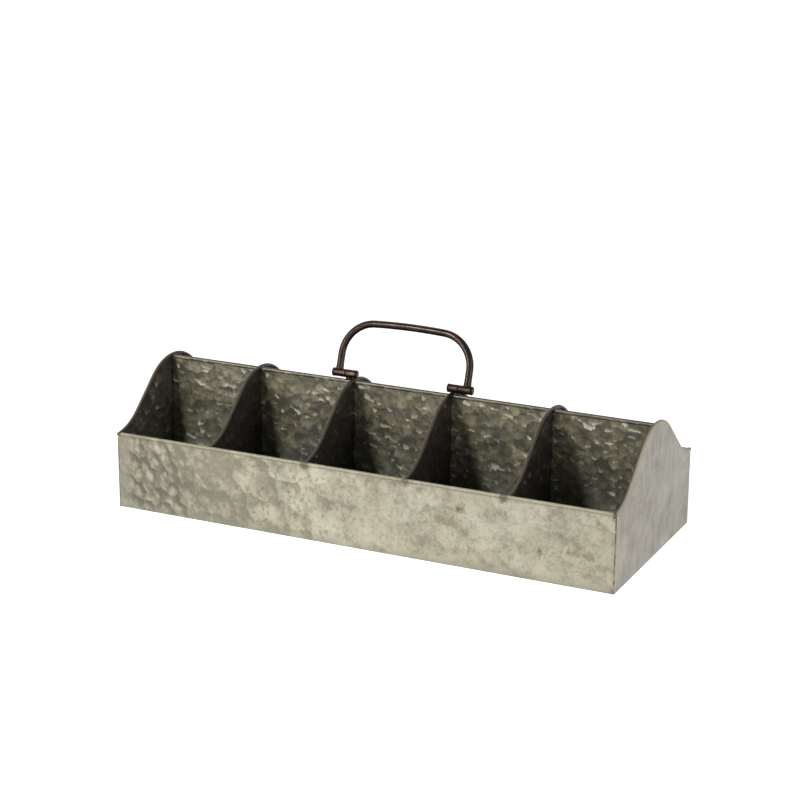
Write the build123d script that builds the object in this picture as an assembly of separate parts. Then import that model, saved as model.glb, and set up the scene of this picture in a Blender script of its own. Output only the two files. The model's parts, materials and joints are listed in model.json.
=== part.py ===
from build123d import *
import math
import os

# Bottle caddy of galvanised sheet: a tray with a centre partition, four cross dividers with
# ogee rims, and a folding bail handle on two riveted hinges.
# Millimetres. +X runs along the length, the front is -Y, +Z is up.
# The origin is on the table, under the middle of the tray.

# Overall sizes of the tray
overall_length = 508.0
overall_depth = 203.2
wall_height = 75.0
crest_height = 129.2
partition_drop = 1.6
bays_per_side = 5

# Sheet and its wired rims: each open edge is rolled round a wire
sheet_thickness = 0.6
rim_wire_diameter = 2.4
wire_clearance = 0.05
rim_proud = 0.5
wire_end_recess = 0.5

# Ogee of the end panels and dividers: a crest arc, a straight slope and a foot arc.
# The slope is a share of the steepest one, at which the two arcs would meet with no straight.
crest_radius = 58.0
rim_slope_share = 0.757
foot_runout = 4.4

# Flanges and fits between the sheets
floor_flange_height = 8.0
corner_flange_width = 10.0
divider_flange_width = 6.5
partition_flange_width = 8.0
slot_gap = 0.1
flange_gap = 0.3
rim_butt_gap = 0.05
slot_height_share = 0.5
solder_cap_thickness = 0.6
overrun = 2.0

# Bail handle: a round rod, its legs straight, its corners bent, its top slightly crowned
bail_rod_diameter = 7.1
leg_past_divider = 15.7
bail_rise = 51.0
bail_corner_radius = 32.0
bail_crown_radius = 640.0
bail_lean = 18.5

# Hinges on the partition's rim
knuckle_diameter = 8.0
knuckle_length = 13.0
sleeve_length = 10.4
pin_diameter = 4.0
pin_running_clearance = 0.05
hinge_side_gap = 0.2
head_side_gap = 0.1
pin_head_diameter = 8.5
pin_head_thickness = 1.2
pin_head_round = 0.5
sleeve_over_crest = 0.05
sleeve_foot_width = 3.0
leg_from_outer_end = 5.3

# Sizes worked out from the ones above
rim_bore_radius = rim_wire_diameter / 2 + wire_clearance
rim_radius = rim_bore_radius + sheet_thickness
half_length = overall_length / 2
half_depth = overall_depth / 2
end_outer_x = half_length - rim_proud
end_inner_x = end_outer_x - sheet_thickness
wall_outer_y = half_depth - rim_proud
wall_inner_y = wall_outer_y - sheet_thickness
half_sheet = sheet_thickness / 2
end_rim_x = half_length - rim_radius
wall_rim_y = half_depth - rim_radius
wall_rim_z = wall_height - rim_radius
partition_height = crest_height - partition_drop
partition_rim_z = partition_height - rim_radius
rim_depth_reach = half_depth - solder_cap_thickness
wall_rim_reach = end_rim_x - rim_radius - rim_butt_gap
divider_rim_reach = wall_rim_y - rim_radius - rim_butt_gap
under_wall_rim = wall_height - 2 * rim_radius - rim_butt_gap
under_crest_rim = crest_height - 2 * rim_radius - slot_gap
partition_fold_reach = half_sheet + partition_flange_width
under_crest_radius = crest_radius - 2 * rim_radius
under_crest_rise = math.sqrt(under_crest_radius ** 2 - partition_fold_reach ** 2)
under_crest_arc = crest_height - crest_radius + under_crest_rise
floor_flange_top = sheet_thickness + floor_flange_height
above_floor_flange = floor_flange_top + flange_gap
inside_floor_flange_x = end_inner_x - sheet_thickness - slot_gap
inside_floor_flange_y = wall_inner_y - sheet_thickness - slot_gap
slot_height = slot_height_share * partition_rim_z
bay_length = overall_length / bays_per_side
divider_xs = [-half_length + bay_length * (i + 1) for i in range(bays_per_side - 1)]

bail_leg_x = bay_length / 2 + leg_past_divider
hinge_axis_z = crest_height + sleeve_over_crest + knuckle_diameter / 2
knuckle_outer_x = bail_leg_x + leg_from_outer_end
knuckle_inner_x = knuckle_outer_x - knuckle_length
sleeve_outer_x = knuckle_inner_x - hinge_side_gap
sleeve_inner_x = sleeve_outer_x - sleeve_length
pin_outer_x = knuckle_outer_x + head_side_gap


def span_box(x_span, y_span, z_span):
    """A box given by its low and high coordinate on each axis."""
    size = [high - low for low, high in (x_span, y_span, z_span)]
    middle = [(high + low) / 2 for low, high in (x_span, y_span, z_span)]
    return Pos(*middle) * Box(*size)


def rod_along_x(radius, x_span, y, z):
    """A round bar parallel to X."""
    length = x_span[1] - x_span[0]
    middle = (x_span[1] + x_span[0]) / 2
    return Pos(middle, y, z) * Rot(Y=90) * Cylinder(radius, length)


def ogee_edges(inset, reach):
    """The rim's outline in the YZ plane, moved inwards by inset, from y = -reach to +reach."""
    rise = crest_height - wall_height
    foot_end_y = half_depth + foot_runout
    slope = rim_slope_share * 2 * math.atan(rise / foot_end_y)
    both_radii = (foot_end_y * math.sin(slope) - rise * math.cos(slope)) / (1 - math.cos(slope))
    foot_radius = both_radii - crest_radius
    crest_centre_z = crest_height - crest_radius
    foot_centre_z = wall_height + foot_radius

    def on_crest(angle):
        radius = crest_radius - inset
        return (radius * math.sin(angle), crest_centre_z + radius * math.cos(angle))

    def on_foot(angle):
        radius = foot_radius + inset
        return (foot_end_y - radius * math.sin(angle), foot_centre_z - radius * math.cos(angle))

    end_angle = math.asin((foot_end_y - reach) / (foot_radius + inset))
    right_foot = [on_foot(angle) for angle in (slope, (slope + end_angle) / 2, end_angle)]
    left_foot = [(-y, z) for y, z in reversed(right_foot)]
    return [
        ThreePointArc(*left_foot),
        Line(left_foot[-1], on_crest(-slope)),
        ThreePointArc(on_crest(-slope), on_crest(0), on_crest(slope)),
        Line(on_crest(slope), right_foot[0]),
        ThreePointArc(*right_foot),
    ]


def ogee_plate(x_span, reach, bottom_z):
    """A flat sheet under the rim's centre line, standing across the tray."""
    edges = ogee_edges(rim_radius, reach)
    left_top = edges[0] @ 0
    right_top = edges[-1] @ 1
    left_bottom = Vector(-reach, bottom_z)
    right_bottom = Vector(reach, bottom_z)
    edges += [Line(right_top, right_bottom), Line(right_bottom, left_bottom), Line(left_bottom, left_top)]
    face = Plane.YZ * make_face(edges)
    return Pos(x_span[0], 0, 0) * extrude(face, x_span[1] - x_span[0])


def ogee_rod(radius, x, reach):
    """A round bar bent along the rim's centre line, its ends cut square at y = -reach and +reach."""
    path = Plane.YZ * Wire(ogee_edges(rim_radius, reach + overrun))
    section = Plane(origin=path @ 0, z_dir=path % 0) * Circle(radius)
    bar = Pos(x, 0, 0) * sweep(section, path)
    trim = span_box((x - 2 * radius, x + 2 * radius), (-reach, reach), (0, crest_height + overrun))
    return bar & trim


def rolled_ogee(plate, x, reach):
    """Add the rolled rim to a sheet and open the bore that its wire lies in."""
    return plate + ogee_rod(rim_radius, x, reach) - ogee_rod(rim_bore_radius, x, reach + overrun / 2)


def long_wall(side):
    """Front (-1) or back (+1) wall: a sheet with a rolled top edge, butted between the end rims."""
    faces_y = sorted([side * wall_outer_y, side * wall_inner_y])
    rim_y = side * wall_rim_y
    wall = span_box((-end_outer_x, end_outer_x), faces_y, (0, wall_rim_z))
    wall += rod_along_x(rim_radius, (-wall_rim_reach, wall_rim_reach), rim_y, wall_rim_z)
    wall -= rod_along_x(rim_bore_radius, (-half_length, half_length), rim_y, wall_rim_z)
    for x_span in ((-half_length, -wall_rim_reach), (wall_rim_reach, half_length)):
        notch_y = (rim_y - 2 * rim_radius, rim_y + 2 * rim_radius)
        wall -= span_box(x_span, notch_y, (under_wall_rim, wall_height + overrun))
    return wall


def end_panel(side):
    """Left (-1) or right (+1) end: an ogee sheet with flanges folded along both long walls."""
    faces_x = sorted([side * end_outer_x, side * end_inner_x])
    rim_x = side * end_rim_x
    plate = ogee_plate(faces_x, wall_inner_y, 0)
    for y_span in ((-wall_inner_y, -wall_inner_y + sheet_thickness),
                   (wall_inner_y - sheet_thickness, wall_inner_y)):
        fold_x = sorted([side * (end_inner_x - corner_flange_width), side * end_outer_x])
        plate += span_box(fold_x, y_span, (above_floor_flange, under_wall_rim - flange_gap))
    return rolled_ogee(plate, rim_x, rim_depth_reach)


def floor_pan():
    """The floor: one sheet with a flange turned up along each side."""
    pan = span_box((-end_inner_x, end_inner_x), (-wall_inner_y, wall_inner_y), (0, floor_flange_top))
    hollow_x = end_inner_x - sheet_thickness
    hollow_y = wall_inner_y - sheet_thickness
    top = floor_flange_top + overrun
    return pan - span_box((-hollow_x, hollow_x), (-hollow_y, hollow_y), (sheet_thickness, top))


def divider(x):
    """A cross divider: ogee sheet, end flanges, and a slot from below that straddles the partition."""
    plate = ogee_plate((x - half_sheet, x + half_sheet), wall_inner_y, sheet_thickness)
    for y_span in ((-wall_inner_y, -wall_inner_y + sheet_thickness),
                   (wall_inner_y - sheet_thickness, wall_inner_y)):
        fold_x = (x - half_sheet, x + half_sheet + divider_flange_width)
        plate += span_box(fold_x, y_span, (above_floor_flange, under_wall_rim - flange_gap))
    plate = rolled_ogee(plate, x, divider_rim_reach)
    around = (x - 2 * divider_flange_width, x + 2 * divider_flange_width)
    for side in (-1, 1):
        beyond_rim = sorted([side * divider_rim_reach, side * half_depth])
        plate -= span_box(around, beyond_rim, (under_wall_rim, crest_height))
        beyond_flange = sorted([side * inside_floor_flange_y, side * half_depth])
        plate -= span_box(around, beyond_flange, (0, above_floor_flange))
    slot_half = half_sheet + slot_gap
    return plate - span_box(around, (-slot_half, slot_half), (0, slot_height + slot_gap))


def centre_partition():
    """The long partition: rolled top edge, end flanges, and slots from above for the dividers."""
    faces_y = (-half_sheet, half_sheet)
    sheet = span_box((-end_inner_x, end_inner_x), faces_y, (sheet_thickness, partition_rim_z))
    around_y = (-2 * partition_flange_width, 2 * partition_flange_width)
    for side in (-1, 1):
        fold_x = sorted([side * (end_inner_x - sheet_thickness), side * end_inner_x])
        fold_y = (-half_sheet, partition_fold_reach)
        sheet += span_box(fold_x, fold_y, (above_floor_flange, under_crest_arc - flange_gap))
    sheet += rod_along_x(rim_radius, (-wall_rim_reach, wall_rim_reach), 0, partition_rim_z)
    sheet -= rod_along_x(rim_bore_radius, (-half_length, half_length), 0, partition_rim_z)
    for side in (-1, 1):
        past_rim = sorted([side * wall_rim_reach, side * half_length])
        sheet -= span_box(past_rim, around_y, (under_crest_rim, crest_height))
        past_flange = sorted([side * inside_floor_flange_x, side * half_length])
        sheet -= span_box(past_flange, around_y, (0, above_floor_flange))
    for x in divider_xs:
        slot = (x - half_sheet - slot_gap, x + half_sheet + slot_gap)
        sheet -= span_box(slot, around_y, (slot_height, crest_height))
        notch = (x - rim_radius - slot_gap, x + rim_radius + slot_gap)
        sheet -= span_box(notch, around_y, (under_crest_rim, crest_height))
    return sheet


def partition_wires():
    """One wire in each stretch of the partition's rolled edge, between the dividers' rims."""
    stops = [-wall_rim_reach] + divider_xs + [wall_rim_reach]
    first, last = stops[0], stops[-1]
    beside = rim_radius + slot_gap + wire_end_recess
    wires = []
    for low, high in zip(stops[:-1], stops[1:]):
        start = low + (wire_end_recess if low == first else beside)
        end = high - (wire_end_recess if high == last else beside)
        wires.append(rod_along_x(rim_wire_diameter / 2, (start, end), 0, partition_rim_z))
    return Compound(children=wires)


def solder_caps():
    """Solder that closes the end panels' rolled rims at the four top corners."""
    caps = []
    for side_x in (-1, 1):
        for side_y in (-1, 1):
            bar = ogee_rod(rim_radius, side_x * end_rim_x, half_depth)
            y_span = sorted([side_y * rim_depth_reach, side_y * half_depth])
            caps.append(bar & span_box((-half_length, half_length), y_span, (0, crest_height)))
    return Compound(children=caps)


def lean_back(shape):
    """Turn a shape of the bail about the hinge axis, from upright to where it stands at rest."""
    return Pos(0, 0, hinge_axis_z) * Rot(X=-bail_lean) * Pos(0, 0, -hinge_axis_z) * shape


def bail_handle():
    """The bail: one bent rod, its feet coped to the round of the knuckles."""
    corner_x = bail_leg_x - bail_corner_radius
    between_centres = bail_crown_radius - bail_corner_radius
    crown_z = bail_rise - bail_crown_radius
    corner_z = crown_z + math.sqrt(between_centres ** 2 - corner_x ** 2)
    crown_angle = math.asin(corner_x / between_centres)
    corner_angle = (math.pi / 2 + crown_angle) / 2

    def on_corner(angle):
        across = bail_corner_radius * math.sin(angle)
        return (corner_x + across, corner_z + bail_corner_radius * math.cos(angle))

    right = [on_corner(crown_angle), on_corner(corner_angle), (bail_leg_x, corner_z)]
    left = [(-x, z) for x, z in right]
    edges = [
        Line((-bail_leg_x, 0), left[2]),
        ThreePointArc(left[2], left[1], left[0]),
        ThreePointArc(left[0], (0, bail_rise), right[0]),
        ThreePointArc(right[0], right[1], right[2]),
        Line(right[2], (bail_leg_x, 0)),
    ]
    path = Pos(0, 0, hinge_axis_z) * (Plane.XZ * Wire(edges))
    section = Plane(origin=path @ 0, z_dir=path % 0) * Circle(bail_rod_diameter / 2)
    rod = sweep(section, path)
    rod -= rod_along_x(knuckle_diameter / 2, (-half_length, half_length), 0, hinge_axis_z)
    return lean_back(rod)


def knuckle(side):
    """The turning half of a hinge: a short tube brazed to the foot of the bail's leg."""
    x_span = sorted([side * knuckle_inner_x, side * knuckle_outer_x])
    bore = pin_diameter / 2 + pin_running_clearance
    tube = rod_along_x(knuckle_diameter / 2, x_span, 0, hinge_axis_z)
    return tube - rod_along_x(bore, (-half_length, half_length), 0, hinge_axis_z)


def hinge_sleeve(side):
    """The fixed half of a hinge: a short tube on a foot that is brazed to the partition's rim."""
    x_span = sorted([side * sleeve_inner_x, side * sleeve_outer_x])
    nearest = min(divider_xs, key=lambda x: abs(x - side * sleeve_inner_x))
    foot_inner_x = max(sleeve_inner_x, abs(nearest) + rim_radius + flange_gap)
    foot_x = sorted([side * foot_inner_x, side * sleeve_outer_x])
    foot_half = sleeve_foot_width / 2
    body = rod_along_x(knuckle_diameter / 2, x_span, 0, hinge_axis_z)
    body += span_box(foot_x, (-foot_half, foot_half), (partition_height, hinge_axis_z))
    return body - rod_along_x(pin_diameter / 2, (-half_length, half_length), 0, hinge_axis_z)


def hinge_pin(side):
    """The rivet of a hinge: a shank through sleeve and knuckle, with a rounded head at each end."""
    shank_x = sorted([side * sleeve_inner_x, side * pin_outer_x])
    pin = rod_along_x(pin_diameter / 2, shank_x, 0, hinge_axis_z)
    for inner, outer in ((sleeve_inner_x, sleeve_inner_x - pin_head_thickness),
                         (pin_outer_x, pin_outer_x + pin_head_thickness)):
        head = rod_along_x(pin_head_diameter / 2, sorted([side * inner, side * outer]), 0, hinge_axis_z)
        rims = head.edges().filter_by(GeomType.CIRCLE)
        outer_rim = [edge for edge in rims if abs(edge.center().X - side * outer) < pin_head_round]
        pin += fillet(outer_rim, pin_head_round)
    return pin


parts = {
    "floor_pan": floor_pan(),
    "front_wall": long_wall(-1),
    "back_wall": long_wall(1),
    "left_end_panel": end_panel(-1),
    "right_end_panel": end_panel(1),
    "centre_partition": centre_partition(),
    "front_rim_wire": rod_along_x(
        rim_wire_diameter / 2, (-wall_rim_reach, wall_rim_reach), -wall_rim_y, wall_rim_z),
    "back_rim_wire": rod_along_x(
        rim_wire_diameter / 2, (-wall_rim_reach, wall_rim_reach), wall_rim_y, wall_rim_z),
    "left_end_rim_wire": ogee_rod(rim_wire_diameter / 2, -end_rim_x, rim_depth_reach),
    "right_end_rim_wire": ogee_rod(rim_wire_diameter / 2, end_rim_x, rim_depth_reach),
    "partition_rim_wires": partition_wires(),
    "corner_solder_caps": solder_caps(),
    "bail_handle": bail_handle(),
}
for number, x in enumerate(divider_xs, start=1):
    parts[f"divider_{number}"] = divider(x)
    parts[f"divider_rim_wire_{number}"] = ogee_rod(rim_wire_diameter / 2, x, divider_rim_reach)
for side, name in ((-1, "left"), (1, "right")):
    parts[f"{name}_knuckle"] = knuckle(side)
    parts[f"{name}_hinge_sleeve"] = hinge_sleeve(side)
    parts[f"{name}_hinge_pin"] = hinge_pin(side)

os.makedirs("parts", exist_ok=True)
for name, shape in parts.items():
    export_step(shape, f"parts/{name}.step")
    print(name, [round(value, 2) for value in shape.bounding_box().size])
print("hinge axis height", round(hinge_axis_z, 3))
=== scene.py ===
import json
import math

import bpy
import numpy as np
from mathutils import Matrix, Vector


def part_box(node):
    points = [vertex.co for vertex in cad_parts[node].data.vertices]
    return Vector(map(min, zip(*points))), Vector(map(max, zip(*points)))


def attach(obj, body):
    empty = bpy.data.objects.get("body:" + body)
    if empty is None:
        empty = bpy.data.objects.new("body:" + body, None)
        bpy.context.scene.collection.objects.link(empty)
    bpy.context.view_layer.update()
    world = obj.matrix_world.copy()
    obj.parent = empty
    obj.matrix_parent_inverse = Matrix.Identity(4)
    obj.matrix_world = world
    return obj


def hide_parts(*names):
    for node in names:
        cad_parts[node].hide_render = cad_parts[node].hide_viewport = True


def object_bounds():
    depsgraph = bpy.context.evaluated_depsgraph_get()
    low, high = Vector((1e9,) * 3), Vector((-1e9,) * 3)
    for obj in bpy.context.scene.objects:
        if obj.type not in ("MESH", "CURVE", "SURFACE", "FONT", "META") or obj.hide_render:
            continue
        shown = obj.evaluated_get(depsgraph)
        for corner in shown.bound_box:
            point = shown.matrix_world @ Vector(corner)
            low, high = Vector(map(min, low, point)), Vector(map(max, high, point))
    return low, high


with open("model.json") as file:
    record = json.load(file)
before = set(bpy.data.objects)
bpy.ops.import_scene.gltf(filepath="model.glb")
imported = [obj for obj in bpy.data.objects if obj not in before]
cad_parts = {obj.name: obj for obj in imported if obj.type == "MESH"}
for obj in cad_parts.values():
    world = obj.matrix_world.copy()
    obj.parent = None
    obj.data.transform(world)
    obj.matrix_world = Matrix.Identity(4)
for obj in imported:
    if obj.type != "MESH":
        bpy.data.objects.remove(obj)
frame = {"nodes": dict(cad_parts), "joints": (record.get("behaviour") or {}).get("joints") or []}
cad_box = [list(corner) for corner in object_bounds()]

# The floor pan: one sheet of galvanised steel with a flange turned up along each side, soldered inside
# the walls. Its zinc has aged to a dark olive grey with dimpled crystals, as all the inside has.
mm = 0.001
sheet_thickness = 0.6 * mm
half_sheet = sheet_thickness / 2
bend_radius = 1.2 * mm
bend_points = 7
pan_step = 5.0 * mm
weld_distance = 0.01 * mm
pan_low, pan_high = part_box("floor_pan")


def linear(hex_value):
    """An sRGB hex colour as the linear colour with alpha that a shader takes. By the sRGB curve a channel up
    to 0.04045 is divided by 12.92, and any other is (channel + 0.055) / 1.055 to the power 2.4."""
    channels = [int(hex_value[i:i + 2], 16) / 255 for i in (1, 3, 5)]
    return [c / 12.92 if c <= 0.04045 else ((c + 0.055) / 1.055) ** 2.4 for c in channels] + [1.0]


def add(material, kind, links=None, stops=None, **settings):
    """Add one shader node: settings are its fields, links its sockets by name or number, each a value, an
    sRGB hex colour, a socket or a node whose first output in use is meant, and stops a ramp's places and
    colours."""
    tree = material.node_tree
    node = tree.nodes.new("ShaderNode" + kind)
    for field, value in settings.items():
        setattr(node, field, value)
    for socket, value in (links or {}).items():
        if isinstance(value, bpy.types.Node):
            value = next(output for output in value.outputs if output.enabled)
        if isinstance(value, bpy.types.NodeSocket):
            tree.links.new(value, node.inputs[socket])
        else:
            node.inputs[socket].default_value = linear(value) if isinstance(value, str) else value
    for place, colour in (stops or [])[2:]:
        node.color_ramp.elements.new(place)
    for element, (place, colour) in zip(node.color_ramp.elements if stops else [], stops or []):
        element.position = place
        element.color = linear(colour) if isinstance(colour, str) else [colour] * 3 + [1.0]
    return node


def add_up(material, start, *shares):
    """A start value to which each pattern adds its share: the tone that a ramp turns into colours, or a
    place or height that the patterns make uneven."""
    total = start
    for pattern, share in shares:
        total = add(material, "Math", {0: pattern, 1: share, 2: total}, operation="MULTIPLY_ADD")
    return total


def new_material(name):
    """An empty material and its surface output."""
    material = bpy.data.materials.new(name)
    material.use_nodes = True
    material.node_tree.nodes.clear()
    return material, add(material, "OutputMaterial")


def wavy(material, place, size, reach):
    """A place moved by up to reach in waves a little longer than size, so that a pattern's borders wander:
    the place plus twice the reach times a noise less 0.5, on each axis."""
    wave = add(material, "TexNoise", {"Vector": place, "Scale": 0.9 / size, "Detail": 4.0, "Roughness": 0.6})
    wave = add(material, "VectorMath", {0: wave.outputs["Color"], 1: (0.5, 0.5, 0.5)}, operation="SUBTRACT")
    return add(material, "VectorMath", {0: wave, 1: [2 * reach] * 3, 2: place}, operation="MULTIPLY_ADD")


def crystals(material, place, size, reach, lit_side, smooth=0.0):
    """Zinc crystals of a size, their borders made wavy by reach. Each has three random numbers, a lean: how
    far a point lies from the crystal's middle towards its lit side, from about -1 to 1, and a dome: 1 in
    the middle and about 0 at the border."""
    bent = wavy(material, place, size, reach)
    cells = add(material, "TexVoronoi", {"Vector": bent, "Scale": 1 / size},
                feature="SMOOTH_F1" if smooth else "F1")
    if smooth:
        cells.inputs["Smoothness"].default_value = smooth
    away = add(material, "VectorMath", {0: bent, 1: cells.outputs["Position"]}, operation="SUBTRACT")
    towards = [2 / size * part for part in lit_side]
    lean = add(material, "VectorMath", {0: away, 1: towards}, operation="DOT_PRODUCT").outputs["Value"]
    dome = add(material, "MapRange", {"Value": cells.outputs["Distance"], "From Min": 0.62, "From Max": 0.12},
               interpolation_type="SMOOTHSTEP")
    random = add(material, "SeparateColor", {0: cells.outputs["Color"]})
    return random, lean, dome


def zinc_surface(material, output, colour, random, relief, grain, metallic, roughness):
    """The shader of a crystalline zinc face. Each crystal rises by a random share of the relief, which is its
    lean towards its lit side or its dome, so that neighbours catch the light differently, with the fine
    grain over it."""
    crystal_rise = 0.30 * mm
    grain_rise = 0.06 * mm
    rise = add(material, "Math", {0: random.outputs["Red"], 1: crystal_rise}, operation="MULTIPLY")
    rise = add(material, "Math", {0: relief, 1: rise}, operation="MULTIPLY")
    height = add_up(material, rise, (grain, grain_rise))
    bump = add(material, "Bump", {"Height": height, "Strength": 0.8, "Distance": 1.0})
    shader = add(material, "BsdfPrincipled", {"Base Color": colour, "Metallic": metallic,
                                              "Roughness": roughness, "Normal": bump})
    material.node_tree.links.new(shader.outputs[0], output.inputs["Surface"])
    return material


def aged_zinc(name, light, middle, dark, cool, painted_glint, painted_glint_share, rim, rim_start):
    """Zinc dulled by age: soft-edged crystals of 8.5 mm and dimples of 7 mm in olive greys. Each crystal is
    painted lighter towards its lit side, painted light, and towards the floor the colour turns to a cooler
    tint that partly paints in the light low down. Bright strokes of 2 to 5 mm at the lower edges of some
    dimples, which catch the eye first, are painted glints. The wash has stained the rolled rims, and where a
    rim's colours have a lighter line at the bead's top, that line is a painted highlight: rim gives their
    colours from the crease round to the curl's cut edge, and the stain begins at rim_start."""
    crystal = 8.5 * mm
    dimple = 7.0 * mm
    cloud_size = 30.0 * mm
    mottle_size = 5.0 * mm
    grain_size = 1.5 * mm
    cool_from = 85.0 * mm
    cool_to = 20.0 * mm
    lit_side = (-0.25, -0.25, -0.93)
    material, output = new_material(name)
    place = add(material, "TexCoord").outputs["Object"]
    height = add(material, "SeparateXYZ", {0: place}).outputs["Z"]
    random, lean = crystals(material, place, crystal, 6.5 * mm, lit_side, 0.65)[:2]
    pits, shine = crystals(material, place, dimple, 4.5 * mm, lit_side, 0.12)[:2]
    cloud = add(material, "TexNoise", {"Vector": place, "Scale": 1 / cloud_size, "Detail": 5.0,
                                       "Roughness": 0.65})
    grain = add(material, "TexNoise", {"Vector": place, "Scale": 1 / grain_size, "Detail": 2.0})
    mottle = add(material, "TexNoise", {"Vector": place, "Scale": 1 / mottle_size, "Detail": 3.0,
                                        "Roughness": 0.6})
    # Each crystal's lean makes it lighter towards its lit side, painted light; the other shares are random
    # tone.
    tone = add_up(material, -0.89, (lean, 0.24), (random.outputs["Green"], 0.45),
                  (pits.outputs["Blue"], 0.26), (cloud, 0.70), (mottle, 0.65), (grain, 0.45))
    colour = add(material, "ValToRGB", {0: tone}, stops=[(0.12, dark), (0.5, middle), (0.82, light)])
    # Towards the floor the colour moves to the cool tint, which partly paints in the light low in the
    # compartments.
    low = add(material, "MapRange", {"Value": height, "From Min": cool_from, "From Max": cool_to,
                                     "To Max": 0.8})
    low = add(material, "Math", {0: low, 1: cloud}, operation="MULTIPLY")
    colour = add(material, "Mix", {"Factor": low, "A": colour, "B": cool}, data_type="RGBA")
    # Painted glints: bright strokes at the lower edges of chosen dimples, where light would catch them.
    chosen = add(material, "Math", {0: pits.outputs["Red"], 1: 1 - painted_glint_share}, operation="GREATER_THAN")
    glint_stroke = add(material, "MapRange", {"Value": shine, "From Min": 0.10, "From Max": 1.0},
                 interpolation_type="SMOOTHSTEP")
    glint_stroke = add(material, "Math", {0: glint_stroke, 1: chosen}, operation="MULTIPLY")
    glint_stroke = add(material, "Math", {0: glint_stroke, 1: pits.outputs["Green"]}, operation="MULTIPLY")
    colour = add(material, "Mix", {"Factor": glint_stroke, "A": colour, "B": painted_glint}, data_type="RGBA")
    bead = add(material, "Attribute", attribute_name="bead").outputs["Fac"]
    on_bead = add(material, "MapRange", {"Value": bead, "From Min": rim_start, "From Max": rim_start + 0.05,
                                         "To Max": 0.9})
    around = add_up(material, -0.08, (mottle, 0.16), (bead, 1.0))
    stained = add(material, "ValToRGB", {0: around}, stops=rim)
    colour = add(material, "Mix", {"Factor": on_bead, "A": colour, "B": stained}, data_type="RGBA")
    return zinc_surface(material, output, colour, random, lean, grain, 0.2, 0.42)


def grid(points, keep=None, **values):
    """A grid of points with its faces and the values that its points carry. A quad joins a point, its right,
    upper right and upper neighbour; keep says which quads stay."""
    rows, columns = points.shape[:2]
    index = np.arange(rows * columns).reshape(rows, columns)
    quads = np.stack([index[:-1, :-1], index[:-1, 1:], index[1:, 1:], index[1:, :-1]], axis=-1)
    quads = quads.reshape(-1, 4) if keep is None else quads[keep]
    carried = {key: np.broadcast_to(value, (rows, columns)).ravel() for key, value in values.items()}
    return points.reshape(-1, 3), quads, carried


def piece(name, grids, materials, body, nodes, thickness=0.0):
    """One object from grids: points that coincide are welded, points without a face dropped, a quad at a
    pole becomes a triangle, the values are kept as attributes, and a sheet gets its thickness, half on each
    side, with the last material on its back."""
    points = np.concatenate([g[0] for g in grids])
    starts = np.cumsum([0] + [len(g[0]) for g in grids[:-1]])
    quads = np.concatenate([g[1] + start for g, start in zip(grids, starts)])
    keys = np.round(points / weld_distance).astype(np.int64)
    _, first, same = np.unique(keys, axis=0, return_index=True, return_inverse=True)
    quads = same.ravel()[quads]
    used, quads = np.unique(quads, return_inverse=True)
    quads = quads.reshape(-1, 4)
    low_pole = quads[:, 0] == quads[:, 1]
    high_pole = quads[:, 2] == quads[:, 3]
    faces = quads[~low_pole & ~high_pole].tolist()
    faces += quads[low_pole & ~high_pole][:, 1:].tolist() + quads[high_pole & ~low_pole][:, :3].tolist()
    mesh = bpy.data.meshes.new(name)
    mesh.from_pydata(points[first][used].tolist(), [], faces)
    for key in grids[0][2]:
        values = np.concatenate([g[2].get(key, np.zeros(len(g[0]))) for g in grids])[first][used]
        mesh.attributes.new(key, "FLOAT", "POINT").data.foreach_set("value", values.astype(np.float32))
    mesh.shade_smooth()
    for material in materials:
        mesh.materials.append(material)
    shape = bpy.data.objects.new(name, mesh)
    bpy.context.scene.collection.objects.link(shape)
    if thickness:
        shell = shape.modifiers.new("sheet", "SOLIDIFY")
        shell.thickness = thickness
        shell.offset = 0.0
        shell.material_offset = len(materials) - 1
        shape.modifiers.new("normals", "WEIGHTED_NORMAL")
    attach(shape, body)
    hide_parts(*nodes)
    return shape


def folded_line(low, high, flange, radius, step):
    """A line that comes down a flange, turns into the flat, crosses it and turns up into the other flange:
    places along the flat and heights over it."""
    turn = np.linspace(0, math.pi / 2, bend_points)
    rise = np.linspace(flange, radius, 5)[:-1]
    flat = np.linspace(low + radius, high - radius, int((high - low) / step))[1:-1]
    first = low + radius - radius * np.sin(turn[::-1])
    lift = radius - radius * np.cos(turn)
    places = np.concatenate([np.full(len(rise), low), first, flat, (low + high) - first[::-1],
                             np.full(len(rise), high)])
    heights = np.concatenate([rise, lift[::-1], np.zeros(len(flat)), lift, rise[::-1]])
    return places, heights


inside_zinc = aged_zinc("aged_galvanised_steel_inside", "#9B9579", "#7B765D", "#504C3E", "#7C7F7D", "#D8D5C1",
                        0.46, [(0.26, "#625A4B"), (0.32, "#695F51"), (0.38, "#3E342A"), (0.54, "#2C231B"),
                               (0.75, "#463B31")], 0.24)

pan_flange = pan_high.z - half_sheet
pan_x, pan_lift_x = folded_line(pan_low.x + half_sheet, pan_high.x - half_sheet, pan_flange, bend_radius,
                                pan_step)
pan_y, pan_lift_y = folded_line(pan_low.y + half_sheet, pan_high.y - half_sheet, pan_flange, bend_radius,
                                pan_step)
grid_x, grid_y = np.meshgrid(pan_x, pan_y)
lift_x, lift_y = np.meshgrid(pan_lift_x, pan_lift_y)
pan_z = half_sheet + lift_x + lift_y
pan_corner = (lift_x[:-1, :-1] + lift_x[1:, 1:] > 0) & (lift_y[:-1, :-1] + lift_y[1:, 1:] > 0)
piece("floor_sheet", [grid(np.stack([grid_x, grid_y, pan_z], axis=-1), ~pan_corner)],
      [inside_zinc], "tray", ["floor_pan"], sheet_thickness)

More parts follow.
